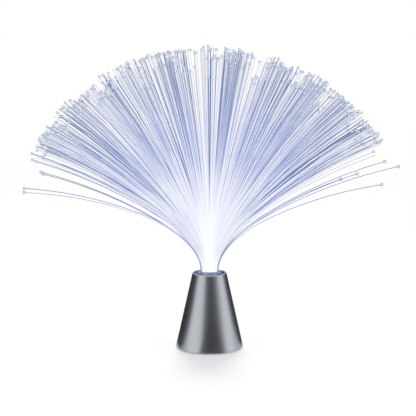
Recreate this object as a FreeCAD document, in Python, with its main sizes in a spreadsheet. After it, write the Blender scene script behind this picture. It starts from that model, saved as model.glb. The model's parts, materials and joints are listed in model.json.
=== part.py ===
import FreeCAD, Part
import math
import os
import random
import Sketcher
from FreeCAD import Placement, Rotation, Vector

# Fibre optic lamp: a cone-shaped battery base with a plug-in spray of light fibres.
# Millimetres and degrees. The origin is on the floor, at the centre of the base.
# +Z is up, +X runs along the long side of the fan of fibres, and -Y is the front.

SIZES = {
    # cone-shaped housing
    "foot_proud": (0.8, "height of the housing's lower edge over the floor"),
    "housing_radius": (35.5, "outer radius of the housing's lower edge"),
    "housing_top": (80.0, "height of the housing's rim over the floor"),
    "housing_top_radius": (17.9, "outer radius of the rim, before it is rounded"),
    "housing_wall": (1.6, "housing wall, measured level"),
    "edge_chamfer": (0.3, "chamfer on the housing's lower edge"),
    "rim_wall": (1.5, "width of the rim's top face, before it is rounded"),
    "rim_round": (1.0, "outer round of the rim"),
    "rim_inner_round": (0.35, "inner round of the rim"),
    "seat_depth": (5.4, "depth of the collar's seat below the rim"),
    "ledge_thickness": (1.6, "thickness of the ledge that carries the collar"),
    # light collar with its dish and socket tube
    "dish_lip": (0.6, "how far the collar's top edge lies below the rim"),
    "dish_edge": (0.5, "width of the collar's flat top edge"),
    "dish_depth": (1.8, "depth of the dish's floor below the rim"),
    "dish_round": (5.4, "radius of the dish's curved side"),
    "dish_margin": (0.45, "flat dish floor outside the bush"),
    "collar_gap": (0.05, "radial gap of the collar in the rim"),
    "socket_wall": (1.4, "wall of the socket tube"),
    "socket_length": (24.2, "length of the socket tube below the dish's floor"),
    "nut_across": (30.0, "width across flats of the retaining nut"),
    "nut_height": (5.0, "height of the retaining nut"),
    "thread_gap": (0.05, "radial gap of parts pushed or screwed on the tube"),
    # bush and ferrule of the spray
    "bush_wall": (1.2, "wall of the bush"),
    "bush_length": (21.2, "length of the bush below the dish's floor"),
    "flange_thickness": (0.7, "thickness of the bush's and the ferrule's flange"),
    "bush_flange": (0.85, "how far the bush's flange stands out"),
    "ferrule_wall": (0.9, "wall of the ferrule"),
    "ferrule_flange": (0.9, "how far the ferrule's flange stands out"),
    "ferrule_rise": (2.2, "how far the ferrule stands over its flange"),
    "ferrule_length": (25.8, "length of the ferrule over all"),
    "running_gap": (0.05, "radial gap of the bush and of the ferrule"),
    "seat_gap": (0.1, "gap under the flanges"),
    # fibres
    "fibre_dia": (0.75, "diameter of one fibre"),
    "fibre_gap": (0.08, "gap between fibres in the bundle"),
    "fibres_across": (23.0, "fibres side by side across the bundle"),
    "potting_gap": (0.02, "gap between the bundle and the ferrule"),
    "fibre_length": (236.0, "usual free length of a fibre"),
    "bend_length": (30.0, "length in which a fibre makes most of its bend"),
    "spread_left": (72.6, "final lean of the outermost fibres to -X"),
    "spread_right": (68.2, "final lean of the outermost fibres to +X"),
    "spread_depth": (33.3, "final lean of the foremost and rearmost fibres"),
    "tuft_fibres": (5.0, "usual number of fibres in a tuft"),
    "tuft_lean": (2.1, "lean between neighbouring fibres of one tuft, in degrees"),
    # lens, light chamber and lamp board
    "lens_thickness": (2.2, "thickness of the lens at its edge"),
    "lens_sag": (1.0, "height of the lens's convex face"),
    "lens_rim": (0.4, "how far the convex face stays clear of the chamber's wall"),
    "chamber_wall": (1.4, "wall of the light chamber"),
    "chamber_overlap": (6.0, "how far the light chamber reaches over the socket tube"),
    "chamber_radius": (10.8, "inner radius of the light chamber"),
    "chamber_height": (11.0, "height of the light chamber below the lens"),
    "chamber_flange": (1.6, "thickness of the light chamber's flange"),
    "board_radius": (16.4, "radius of the lamp board"),
    "board_thickness": (1.6, "thickness of the lamp board"),
    "board_boss_radius": (1.9, "radius of the chamber's screw bosses"),
    "board_boss_height": (5.6, "height of the chamber's screw bosses"),
    "board_screw_radius": (0.8, "thread radius of the board screws"),
    "board_head_radius": (1.8, "head radius of the board screws"),
    "board_head_height": (1.3, "head height of the board screws"),
    "led_ring": (5.4, "distance of each lamp from the axis"),
    "led_radius": (2.5, "radius of a lamp"),
    "led_flange": (0.4, "how far a lamp's flange stands out"),
    "led_flange_height": (1.0, "height of a lamp's flange"),
    "led_height": (8.6, "height of a lamp"),
    "led_standoff": (1.0, "gap between lamp and board"),
    "lead_radius": (0.25, "radius of a lamp's lead"),
    "lead_pitch": (2.54, "distance between a lamp's leads"),
    "lead_tail": (1.2, "how far the leads stand out below the board"),
    "lead_gap": (0.15, "gap round a lead in the board"),
    "chip_length": (6.0, "length of the driver chip"),
    "chip_width": (4.4, "width of the driver chip"),
    "chip_height": (1.5, "height of the driver chip"),
    "resistor_length": (3.2, "length of a resistor"),
    "resistor_width": (1.6, "width of a resistor"),
    "resistor_height": (0.6, "height of a resistor"),
    "resistor_pitch": (4.0, "distance from one resistor to the next"),
    "resistor_place": (8.0, "distance of the resistors behind the axis"),
    # cells and their bay
    "cell_dia": (10.5, "diameter of a cell"),
    "cell_length": (44.5, "length of a cell with its nub"),
    "nub_radius": (1.9, "radius of a cell's nub"),
    "nub_height": (1.0, "height of a cell's nub"),
    "cell_gap": (0.3, "gap beside each cell"),
    "cell_lift": (0.4, "gap between the cells and the door"),
    "roof_gap": (0.3, "gap between the cells and the bay's roof"),
    "spring_space": (3.9, "room for a contact spring"),
    "contact_thickness": (0.3, "thickness of a contact plate"),
    "contact_width": (4.6, "width of a contact plate"),
    "contact_height": (8.5, "height of a contact plate"),
    "tab_width": (2.4, "width of a solder tab"),
    "tab_height": (2.4, "how far a solder tab stands over the bay"),
    "touch_gap": (0.05, "gap where a contact meets a cell"),
    "spring_width": (4.4, "width of a contact spring"),
    "spring_strip": (0.3, "thickness of a contact spring's strip"),
    "spring_half": (3.6, "half the height of a contact spring"),
    "bay_wall": (1.0, "wall and roof of the battery bay"),
    "bay_corner": (1.8, "inner corner radius of the battery bay"),
    # base plate, its screws, feet and door
    "plate_thickness": (2.4, "thickness of the base plate"),
    "plate_gap": (0.2, "radial gap of the base plate in the housing"),
    "boss_radius": (2.75, "radius of the housing's screw bosses"),
    "boss_height": (8.0, "height of the housing's screw bosses"),
    "boss_bite": (1.1, "how far the bosses' tops reach into the housing's wall"),
    "screw_radius": (1.1, "thread radius of the base screws"),
    "screw_length": (8.0, "length of a base screw under its head"),
    "screw_head_radius": (2.2, "head radius of the base screws"),
    "screw_head_height": (1.3, "head height of the base screws"),
    "screw_sink": (1.5, "depth of the base screws' counterbores"),
    "screw_gap": (0.1, "radial gap round the shank and the head of a screw"),
    "foot_radius": (4.0, "radius of a foot"),
    "foot_sink": (0.8, "depth of a foot's recess"),
    "foot_gap": (0.1, "radial gap round a foot"),
    "foot_margin": (1.0, "width of the base plate outside a foot"),
    "door_thickness": (1.8, "thickness of the battery door"),
    "door_overlap": (0.65, "how far the door reaches under the bay's wall"),
    "door_gap": (0.25, "gap round the battery door"),
    "door_top_gap": (0.2, "gap over the battery door"),
    "pivot_radius": (0.6, "radius of the door's pivot pins"),
    "pivot_length": (1.1, "length of the door's pivot pins"),
    "pivot_gap": (0.06, "radial gap of the door's pivot pins"),
    "grip_width": (12.0, "length of the door's finger grooves"),
    "grip_groove": (0.8, "width of the door's finger grooves"),
    "grip_depth": (0.4, "depth of the door's finger grooves"),
    # slide switch
    "switch_space": (4.4, "space between the switch and the battery bay"),
    "case_width": (5.6, "width of the switch case"),
    "case_length": (10.0, "length of the switch case"),
    "case_height": (4.0, "height of the switch case"),
    "case_wall": (0.7, "side wall of the switch case"),
    "ear_thickness": (0.8, "thickness of the switch case's ears"),
    "ear_reach": (9.0, "distance of each ear's end from the switch's middle"),
    "ear_screw_place": (7.4, "distance of each ear's screw from the switch's middle"),
    "ear_screw_radius": (0.8, "thread radius of the switch screws"),
    "ear_head_radius": (1.4, "head radius of the switch screws"),
    "ear_head_height": (0.8, "head height of the switch screws"),
    "ear_screw_sink": (0.9, "depth of the switch screws' counterbores"),
    "knob_travel": (3.0, "travel of the switch's knob"),
    "knob_length": (3.2, "length of the knob's stem"),
    "knob_width": (2.4, "width of the knob's stem"),
    "knob_gap": (0.25, "gap round the knob"),
    "knob_recess": (0.9, "depth of the finger recess round the knob"),
    "knob_room": (1.3, "finger room beside the knob"),
    "knob_rise": (0.2, "how far the knob's end lies inside the plate"),
    "flange_length": (4.4, "length of the knob's inner flange"),
    "flange_width": (3.6, "width of the knob's inner flange"),
    "flange_height": (1.6, "height of the knob's inner flange"),
    "lug_pitch": (3.0, "distance between the switch's solder lugs"),
    "lug_width": (1.6, "width of a solder lug"),
    "lug_thickness": (0.5, "thickness of a solder lug"),
    "lug_height": (2.4, "height of a solder lug"),
    # wires
    "wire_dia": (1.2, "diameter of an insulated wire"),
}

SHEET_NAME = "Spec"
FIBRE_NODES = 18          # the fibres are kept as this many sheaves, from -X to +X
TUFT_JITTER = 0.30        # uneven spacing of the tufts, as a share of that spacing
LEAN_JITTER = (1.3, 0.9)  # uneven lean of whole tufts, in degrees, along X and Y
FIBRE_JITTER = 0.13       # uneven lean of single fibres, in degrees
TUFT_LENGTHS = (-0.017, 0.013)   # uneven free length of whole tufts, as shares of it
FIBRE_LENGTHS = 0.005     # uneven free length of single fibres, as a share of their tuft's
EDGE_CROWDING = 0.92      # below 1, the tufts crowd towards the ends of the fan
LEAST_HALF = 0.12         # keeps the front and rear tufts from leaning too far
TUFT_REACH = 0.7          # tuft centres lie up to this share of their spacing off the bundle
TUFT_TURN = 11.0          # turns the rows of tufts, so that they don't line up from the front
WIRE_BEND_SHARE = 0.45
SEED = 94
# A fibre bends by one arc from each station to the next, in multiples of its bend length.
BEND_STATIONS = (0.0, 0.55, 1.4, 2.8)
SAG = 0.29                # share of its lean that a fibre gains evenly over its free length
# Fibres that stand out of the fan: the side of the bundle that each one leaves, in degrees
# from +X, its final lean along X and Y, and its free length and its bend length as multiples
# of the usual ones.
STRAYS = (
    (182, -88.0, -1.6, 0.980, 1.27), (176, -87.0, 2.6, 0.985, 1.24),
    (200, -75.0, -6.6, 0.912, 0.98), (207, -74.5, -7.7, 0.925, 0.98),
    (2, 82.2, 1.0, 0.927, 1.10), (350, 77.5, -3.3, 1.020, 1.08),
    (14, 74.7, 4.4, 0.980, 1.04), (334, 71.0, -7.7, 0.840, 0.96),
    (24, 72.0, 8.2, 0.767, 0.95),
)
SCREWS = 3
SCREW_ARC = 180           # the base screws stand at the back, the left and the front
BOARD_SCREWS = 3
BOARD_SCREW_START = 30.0  # angle of the first board screw, half way between two lamps
FOOT_ANGLE = 35.5         # angle of each foot from the X axis
LAMPS = (("led_red", 90.0), ("led_green", 210.0), ("led_blue", 330.0))


class Size:
    """A length with the sheet formula that gives it."""

    def __init__(self, value, formula):
        self.value = float(value)
        self.formula = formula

    def __add__(self, other):
        other = size(other)
        return Size(self.value + other.value, f"({self.formula} + {other.formula})")

    def __sub__(self, other):
        other = size(other)
        return Size(self.value - other.value, f"({self.formula} - {other.formula})")

    def __mul__(self, other):
        other = size(other)
        return Size(self.value * other.value, f"({self.formula} * {other.formula})")

    def __truediv__(self, other):
        other = size(other)
        return Size(self.value / other.value, f"({self.formula} / {other.formula})")

    def __neg__(self):
        return Size(-self.value, f"(0 - {self.formula})")

    def __radd__(self, other):
        return size(other) + self

    def __rsub__(self, other):
        return size(other) - self

    def __rmul__(self, other):
        return size(other) * self

    def __rtruediv__(self, other):
        return size(other) / self

    def root(self):
        return Size(math.sqrt(self.value), f"sqrt({self.formula})")


def size(value):
    return value if isinstance(value, Size) else Size(value, f"{float(value):.6f}")


def make_sheet(doc):
    """Writes the driving dimensions into the sheet and returns them as sizes."""
    sheet = doc.addObject("Spreadsheet::Sheet", SHEET_NAME)
    for row, (name, (value, note)) in enumerate(SIZES.items(), start=1):
        sheet.set(f"A{row}", name)
        sheet.set(f"B{row}", str(value))
        sheet.set(f"C{row}", note)
        sheet.setAlias(f"B{row}", name)
    doc.recompute()
    return {name: Size(sheet.get(name), f"{SHEET_NAME}.{name}") for name in SIZES}


# ---- helpers that build one kind of feature each ----


def bind(obj, **formulas):
    """Binds properties to sheet formulas; a double underscore stands for a dot."""
    for name, value in formulas.items():
        obj.setExpression(name.replace("__", "."), size(value).formula)


def place(obj, x=0, y=0, z=0):
    bind(obj, Placement__Base__x=x, Placement__Base__y=y, Placement__Base__z=z)
    return obj


def new_body(doc, name):
    body = doc.addObject("PartDesign::Body", name)
    body.Label = name
    return body


def new_sketch(body, plane, offset=0):
    """A sketch on one of the body's own origin planes, moved along that plane's normal."""
    sketch = body.newObject("Sketcher::SketchObject", f"{body.Name}_sketch")
    support = next(f for f in body.Origin.OriginFeatures if f.Role == plane)
    sketch.AttachmentSupport = [(support, "")]
    sketch.MapMode = "FlatFace"
    bind(sketch, AttachmentOffset__Base__z=offset)
    return sketch


def fix_point(sketch, geometry, vertex, x, y):
    """Locates a sketch point from the origin, by formula."""
    for axis, value in (("X", size(x)), ("Y", size(y))):
        if abs(value.value) < 1e-9:
            line = -2 if axis == "X" else -1
            sketch.addConstraint(Sketcher.Constraint("PointOnObject", geometry, vertex, line))
            continue
        ends = (-1, 1, geometry, vertex) if value.value > 0 else (geometry, vertex, -1, 1)
        length = value if value.value > 0 else -value
        number = sketch.addConstraint(Sketcher.Constraint(f"Distance{axis}", *ends, length.value))
        sketch.renameConstraint(number, f"{axis.lower()}_{geometry}_{vertex}")
        bind(sketch, **{f"Constraints__{axis.lower()}_{geometry}_{vertex}": length})


def arc_between(start, end, radius):
    """The short arc from start to end, to the left of the way there if radius is positive."""
    chord = end - start
    middle = (start + end) * 0.5
    left = Vector(-chord.y, chord.x, 0).normalize()
    rise = math.sqrt(max(0, radius**2 - (chord.Length / 2) ** 2))
    side = 1 if radius > 0 else -1
    centre = middle - left * (side * rise)
    crown = centre + left * (side * abs(radius))
    return Part.Arc(start, crown, end)


def draw_outline(sketch, outline):
    """Draws a closed outline of (x, y) points. A third entry is the radius of the arc
    that leads to the point, positive where it bulges to the left of the way there."""
    points = [Vector(size(p[0]).value, size(p[1]).value, 0) for p in outline]
    first = sketch.GeometryCount
    for number, entry in enumerate(outline):
        start = points[number - 1]
        end = points[number]
        if len(entry) == 3:
            sketch.addGeometry(arc_between(start, end, size(entry[2]).value), False)
        else:
            sketch.addGeometry(Part.LineSegment(start, end), False)
    for number, entry in enumerate(outline):
        here = first + number
        after = first + (number + 1) % len(outline)
        here_end, after_start = end_vertices(sketch, here)[1], end_vertices(sketch, after)[0]
        sketch.addConstraint(Sketcher.Constraint("Coincident", here, here_end, after, after_start))
        fix_point(sketch, here, here_end, entry[0], entry[1])
    for number, entry in enumerate(outline):
        if len(entry) == 3:
            radius = size(entry[2])
            radius = radius if radius.value > 0 else -radius
            here = first + number
            label = sketch.addConstraint(Sketcher.Constraint("Radius", here, radius.value))
            sketch.renameConstraint(label, f"radius_{here}")
            bind(sketch, **{f"Constraints__radius_{here}": radius})


def end_vertices(sketch, number):
    """The sketch's numbers for a segment's start and end. An arc that turns clockwise is
    stored the other way round."""
    geometry = sketch.Geometry[number]
    if isinstance(geometry, Part.LineSegment):
        return 1, 2
    return (1, 2) if geometry.Circle.Axis.z > 0 else (2, 1)


def draw_circle(sketch, x, y, radius):
    centre = Vector(size(x).value, size(y).value, 0)
    number = sketch.addGeometry(Part.Circle(centre, Vector(0, 0, 1), size(radius).value), False)
    label = sketch.addConstraint(Sketcher.Constraint("Radius", number, size(radius).value))
    sketch.renameConstraint(label, f"radius_{number}")
    bind(sketch, **{f"Constraints__radius_{number}": radius})
    fix_point(sketch, number, 3, x, y)


def new_feature(body, kind, sketch, **formulas):
    feature = body.newObject(f"PartDesign::{kind}", f"{body.Name}_{kind}")
    feature.Profile = sketch
    bind(feature, **formulas)
    body.Tip = feature
    return feature


def pad(body, outline, height, plane="XY_Plane", offset=0, middle=False):
    """Adds an outline's prism, along the plane's normal or to both sides of the plane."""
    sketch = new_sketch(body, plane, offset)
    draw_outline(sketch, outline)
    feature = new_feature(body, "Pad", sketch, Length=height)
    if middle:
        feature.SideType = "Symmetric"
    return feature


def pad_circle(body, x, y, radius, height, plane="XY_Plane", offset=0, middle=False):
    sketch = new_sketch(body, plane, offset)
    draw_circle(sketch, x, y, radius)
    feature = new_feature(body, "Pad", sketch, Length=height)
    if middle:
        feature.SideType = "Symmetric"
    return feature


def cut_up(body, draw, depth, offset=0):
    """Pockets upwards, from a sketch plane that lies at the cut's lower end."""
    sketch = new_sketch(body, "XY_Plane", offset)
    draw(sketch)
    feature = new_feature(body, "Pocket", sketch, Length=depth)
    feature.Reversed = True
    return feature


def turned(doc, name, outline):
    """A body turned about Z from an outline of (radius, height) points."""
    body = new_body(doc, name)
    sketch = new_sketch(body, "XZ_Plane")
    draw_outline(sketch, outline)
    feature = new_feature(body, "Revolution", sketch)
    feature.ReferenceAxis = (sketch, ["V_Axis"])
    feature.Angle = 360
    return body


def around_axis(body, feature, count, angle=360):
    """Repeats a feature round the Z axis, over an angle in degrees."""
    body.Document.recompute()
    pattern = body.newObject("PartDesign::PolarPattern", f"{body.Name}_pattern")
    pattern.Originals = [feature]
    axis = next(f for f in body.Origin.OriginFeatures if f.Role == "Z_Axis")
    pattern.Axis = (axis, [""])
    pattern.Angle = angle
    pattern.Occurrences = count
    body.Tip = pattern
    return pattern


def rectangle(left, right, low, high):
    return [(left, low), (right, low), (right, high), (left, high)]


def rounded_rectangle(half_x, half_y, corner):
    """A rectangle about the origin with round corners, drawn counter-clockwise."""
    in_x, in_y = half_x - corner, half_y - corner
    return [
        (in_x, -half_y), (half_x, -in_y, -corner),
        (half_x, in_y), (in_x, half_y, -corner),
        (-in_x, half_y), (-half_x, in_y, -corner),
        (-half_x, -in_y), (-in_x, -half_y, -corner),
    ]


def block(doc, name, x, y, z, length, width, height):
    """A box centred on (x, y) that stands on z."""
    box = doc.addObject("Part::Box", name)
    box.Label = name
    bind(box, Length=length, Width=width, Height=height)
    return place(box, x - size(length) / 2, y - size(width) / 2, z)


def cylinder(doc, name, x, y, z, radius, height):
    rod = doc.addObject("Part::Cylinder", name)
    rod.Label = name
    bind(rod, Radius=radius, Height=height)
    return place(rod, x, y, z)


def fused(doc, name, pieces):
    whole = doc.addObject("Part::MultiFuse", name)
    whole.Label = name
    whole.Shapes = pieces
    return whole


def group(doc, name, pieces):
    """One node that holds like pieces as separate solids."""
    whole = doc.addObject("Part::Compound", name)
    whole.Label = name
    whole.Links = pieces
    return whole


def on_ring(radius, angle):
    """The point of a ring at an angle in degrees."""
    across = math.cos(math.radians(angle))
    along = math.sin(math.radians(angle))
    return radius * across, radius * along


# ---- where things lie, worked out from the driving dimensions ----


class Levels:
    """Radii and heights that more than one piece shares."""

    def __init__(self, d):
        self.slope = (d["housing_radius"] - d["housing_top_radius"]) / (
            d["housing_top"] - d["foot_proud"])
        # spray, from the bundle outwards
        self.fibre_pitch = d["fibre_dia"] + d["fibre_gap"]
        self.grid_radius = self.fibre_pitch * (d["fibres_across"] - 1) / 2
        self.bundle_radius = self.grid_radius + d["fibre_dia"] / 2
        self.ferrule_bore = self.bundle_radius + d["potting_gap"]
        self.ferrule_radius = self.ferrule_bore + d["ferrule_wall"]
        self.ferrule_flange_radius = self.ferrule_radius + d["ferrule_flange"]
        self.bush_bore = self.ferrule_radius + d["running_gap"]
        self.bush_radius = self.bush_bore + d["bush_wall"]
        self.bush_flange_radius = self.bush_radius + d["bush_flange"]
        self.socket_bore = self.bush_radius + d["running_gap"]
        self.socket_radius = self.socket_bore + d["socket_wall"]
        # rim, dish and socket, from the top down
        self.rim_bore = d["housing_top_radius"] - d["rim_wall"]
        self.seat = d["housing_top"] - d["seat_depth"]
        self.ledge_bottom = self.seat - d["ledge_thickness"]
        self.dish_floor = d["housing_top"] - d["dish_depth"]
        self.bush_flange_bottom = self.dish_floor + d["seat_gap"]
        self.ferrule_flange_bottom = (
            self.bush_flange_bottom + d["flange_thickness"] + d["seat_gap"])
        self.ferrule_flange_top = self.ferrule_flange_bottom + d["flange_thickness"]
        self.exit = self.ferrule_flange_top + d["ferrule_rise"]
        self.ferrule_bottom = self.exit - d["ferrule_length"]
        self.socket_bottom = self.dish_floor - d["socket_length"]
        self.lens_bottom = self.socket_bottom - d["seat_gap"] - d["lens_thickness"]
        self.chamber_bottom = self.lens_bottom - d["chamber_height"]
        self.board_bottom = self.chamber_bottom - d["board_thickness"]
        self.tube_over_socket = self.socket_radius + d["thread_gap"]
        self.chamber_outer = d["chamber_radius"] + d["chamber_wall"]
        self.board_screw_ring = (
            self.chamber_outer + d["board_boss_radius"] - d["screw_gap"] * 2)
        # base plate and battery bay, from the floor up
        self.plate_bottom = d["foot_proud"]
        self.plate_top = self.plate_bottom + d["plate_thickness"]
        self.door_top = self.plate_bottom + d["door_thickness"]
        self.door_ceiling = self.door_top + d["door_top_gap"]
        self.cell_bottom = self.door_top + d["cell_lift"]
        self.cell_axis = self.cell_bottom + d["cell_dia"] / 2
        self.bay_ceiling = self.cell_bottom + d["cell_dia"] + d["roof_gap"]
        self.bay_top = self.bay_ceiling + d["bay_wall"]
        self.cell_pitch = d["cell_dia"] + d["cell_gap"]
        self.bay_half_x = self.cell_pitch + d["cell_dia"] / 2 + d["cell_gap"]
        self.bay_half_y = (d["cell_length"] + d["spring_space"]) / 2 + d["contact_thickness"]
        self.contact_face = self.bay_half_y - d["contact_thickness"]
        self.plate_radius = self.inner(d, self.plate_top) - d["plate_gap"]
        self.foot_ring = self.plate_radius - d["foot_margin"] - d["foot_radius"]
        self.boss_top = self.plate_top + d["boss_height"]
        self.screw_ring = self.inner(d, self.boss_top) + d["boss_bite"] - d["boss_radius"]
        self.door_half_x = self.bay_half_x + d["door_overlap"]
        self.door_end = self.bay_half_y + d["door_overlap"]
        self.pivot_y = -(self.door_end - d["door_thickness"] / 2)
        self.pivot_z = self.plate_bottom + d["door_thickness"] / 2
        self.switch_place = (
            self.bay_half_x + d["bay_wall"] + d["switch_space"] + d["case_width"] / 2)

    def outer(self, d, height):
        return d["housing_radius"] - (height - d["foot_proud"]) * self.slope

    def inner(self, d, height):
        return self.outer(d, height) - d["housing_wall"]


# ---- base ----


def cone_housing(doc, d, at):
    """Hollow cone with a rounded rim, a ledge for the collar and three screw bosses."""
    foot = d["foot_proud"]
    top = d["housing_top"]
    length = (1 + at.slope * at.slope).root()
    wall_sine = at.slope / length
    wall_cosine = 1 / length
    tangent = d["rim_round"] * wall_cosine / (1 + wall_sine)
    rim = d["housing_top_radius"]
    chamfer_top = foot + d["edge_chamfer"]
    body = turned(doc, "cone_housing", [
        (at.inner(d, foot), foot),
        (d["housing_radius"] - d["edge_chamfer"], foot),
        (at.outer(d, chamfer_top), chamfer_top),
        (rim + tangent * wall_sine, top - tangent * wall_cosine),
        (rim - tangent, top, -d["rim_round"]),
        (at.rim_bore + d["rim_inner_round"], top),
        (at.rim_bore, top - d["rim_inner_round"], -d["rim_inner_round"]),
        (at.rim_bore, at.seat),
        (at.socket_radius + d["screw_gap"] * 2, at.seat),
        (at.socket_radius + d["screw_gap"] * 2, at.ledge_bottom),
        (at.inner(d, at.ledge_bottom), at.ledge_bottom),
    ])
    boss = pad_circle(body, 0, at.screw_ring, d["boss_radius"], d["boss_height"],
                      offset=at.plate_top)
    around_axis(body, boss, SCREWS, SCREW_ARC)
    bore = d["screw_radius"] + d["thread_gap"]
    hole = cut_up(body, lambda s: draw_circle(s, 0, at.screw_ring, bore),
                  d["boss_height"], at.plate_top)
    around_axis(body, hole, SCREWS, SCREW_ARC)
    return body


def socket_collar(doc, d, at):
    """Dish in the rim, with the tube below it that takes the spray."""
    radius = at.rim_bore - d["collar_gap"]
    lip = d["housing_top"] - d["dish_lip"]
    return turned(doc, "socket_collar", [
        (at.socket_bore, at.socket_bottom),
        (at.socket_radius, at.socket_bottom),
        (at.socket_radius, at.seat),
        (radius, at.seat),
        (radius, lip),
        (radius - d["dish_edge"], lip),
        (at.bush_flange_radius + d["dish_margin"], at.dish_floor, d["dish_round"]),
        (at.socket_bore, at.dish_floor),
    ])


def retaining_nut(doc, d, at):
    """Hexagon nut that clamps the collar to the housing's ledge."""
    body = new_body(doc, "retaining_nut")
    flat = d["nut_across"] / 2
    corner = d["nut_across"] / size(3).root()
    low = at.ledge_bottom - d["nut_height"]
    pad(body, [
        (corner, 0), (corner / 2, flat), (-corner / 2, flat),
        (-corner, 0), (-corner / 2, -flat), (corner / 2, -flat),
    ], d["nut_height"], offset=low)
    cut_up(body, lambda s: draw_circle(s, 0, 0, at.tube_over_socket), d["nut_height"], low)
    return body


def base_screw_places(at):
    """Plan positions of the base screws: back, left and front."""
    ring = at.screw_ring
    return [(size(0), ring), (-ring, size(0)), (size(0), -ring)]


def foot_places(at):
    side, depth = on_ring(at.foot_ring, FOOT_ANGLE)
    return [(side, depth), (-side, depth), (-side, -depth), (side, -depth)]


def switch_screw_places(d, at):
    return [(at.switch_place, d["ear_screw_place"]), (at.switch_place, -d["ear_screw_place"])]


def circles(places, radius):
    """Returns a drawing of equal circles, for a pocket."""
    def draw(sketch):
        for x, y in places:
            draw_circle(sketch, x, y, radius)
    return draw


def base_plate(doc, d, at):
    """Round plate with the battery bay moulded on its upper side."""
    body = new_body(doc, "base_plate")
    low = at.plate_bottom
    pad_circle(body, 0, 0, at.plate_radius, d["plate_thickness"], offset=low)
    wall = d["bay_wall"]
    outer = rounded_rectangle(at.bay_half_x + wall, at.bay_half_y + wall, d["bay_corner"] + wall)
    pad(body, outer, at.bay_top - at.plate_top, offset=at.plate_top)
    inner = rounded_rectangle(at.bay_half_x, at.bay_half_y, d["bay_corner"])
    cut_up(body, lambda s: draw_outline(s, inner), at.bay_ceiling - low, low)
    # opening for the door, with blind holes for its pivot pins
    open_x, open_y = at.door_half_x + d["door_gap"], at.door_end + d["door_gap"]
    opening = rectangle(-open_x, open_x, -open_y, open_y)
    cut_up(body, lambda s: draw_outline(s, opening), at.door_ceiling - low, low)
    sketch = new_sketch(body, "YZ_Plane")
    draw_circle(sketch, at.pivot_y, at.pivot_z, d["pivot_radius"] + d["pivot_gap"])
    pin_reach = (at.door_half_x + d["pivot_length"] + d["pivot_gap"]) * 2
    pins = new_feature(body, "Pocket", sketch, Length=pin_reach)
    pins.SideType = "Symmetric"
    # slots in the bay's roof for the two solder tabs
    half_tab = d["tab_width"] / 2 + d["touch_gap"] * 2
    for side in (-1, 1):
        tab_x = at.cell_pitch * side
        near = -side * at.bay_half_y
        far = -side * (at.contact_face - d["touch_gap"] * 2)
        slot = rectangle(tab_x - half_tab, tab_x + half_tab, min_size(near, far),
                         max_size(near, far))
        cut_up(body, lambda s, slot=slot: draw_outline(s, slot), d["bay_wall"], at.bay_ceiling)
    # switch slot and the finger recess round it
    half_x = d["knob_width"] / 2 + d["knob_gap"]
    half_y = (d["knob_length"] + d["knob_travel"]) / 2 + d["knob_gap"]
    room = d["knob_room"]
    middle = at.switch_place
    slot = rectangle(middle - half_x, middle + half_x, -half_y, half_y)
    recess = rectangle(middle - half_x - room, middle + half_x + room,
                       -half_y - room, half_y + room)
    cut_up(body, lambda s: draw_outline(s, slot), d["plate_thickness"], low)
    cut_up(body, lambda s: draw_outline(s, recess), d["knob_recess"], low)
    # screw holes with counterbores, and the feet's recesses
    for places, thread, head, sink in (
            (base_screw_places(at), d["screw_radius"], d["screw_head_radius"], d["screw_sink"]),
            (switch_screw_places(d, at), d["ear_screw_radius"], d["ear_head_radius"],
             d["ear_screw_sink"])):
        cut_up(body, circles(places, thread + d["screw_gap"]), d["plate_thickness"], low)
        cut_up(body, circles(places, head + d["screw_gap"]), sink, low)
    cut_up(body, circles(foot_places(at), d["foot_radius"] + d["foot_gap"]), d["foot_sink"], low)
    return body


def min_size(one, other):
    return one if one.value < other.value else other


def max_size(one, other):
    return one if one.value > other.value else other


def screws(doc, name, places, seat, head, thread):
    """Pan-head screws driven upwards, with the underside of their heads on the seat.
    The head and the thread are each given as (radius, length)."""
    pieces = []
    for number, (x, y) in enumerate(places, start=1):
        top = cylinder(doc, f"{name}_head_{number}", x, y, seat - head[1], head[0], head[1])
        shank = cylinder(doc, f"{name}_shank_{number}", x, y, seat - head[1],
                         thread[0], head[1] + thread[1])
        pieces.append(fused(doc, f"{name}_{number}", [top, shank]))
    return group(doc, name, pieces)


def base_screws(doc, d, at):
    return screws(doc, "base_screws", base_screw_places(at), at.plate_bottom + d["screw_sink"],
                  (d["screw_head_radius"], d["screw_head_height"]),
                  (d["screw_radius"], d["screw_length"]))


def rubber_feet(doc, d, at):
    feet = []
    for number, (x, y) in enumerate(foot_places(at), start=1):
        feet.append(cylinder(doc, f"foot_{number}", x, y, 0, d["foot_radius"],
                             at.plate_bottom + d["foot_sink"]))
    return group(doc, "rubber_feet", feet)


def battery_door(doc, d, at):
    """Flap with a round hinged edge at the front, pivot pins and finger grooves."""
    body = new_body(doc, "battery_door")
    low, top = at.plate_bottom, at.door_top
    pad(body, [
        (at.door_end, low),
        (at.door_end, top),
        (at.pivot_y, top),
        (at.pivot_y - d["door_thickness"] / 2, at.pivot_z, d["door_thickness"] / -2),
        (at.pivot_y, low, d["door_thickness"] / -2),
    ], at.door_half_x * 2, "YZ_Plane", middle=True)
    pad_circle(body, at.pivot_y, at.pivot_z, d["pivot_radius"],
               (at.door_half_x + d["pivot_length"]) * 2, "YZ_Plane", middle=True)

    def grooves(sketch):
        for number in range(1, 4):
            back = at.door_end - d["grip_groove"] * 2 * number
            half = d["grip_width"] / 2
            draw_outline(sketch, rectangle(-half, half, back, back + d["grip_groove"]))

    cut_up(body, grooves, d["grip_depth"], low)
    return body


# ---- cells and contacts ----


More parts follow.
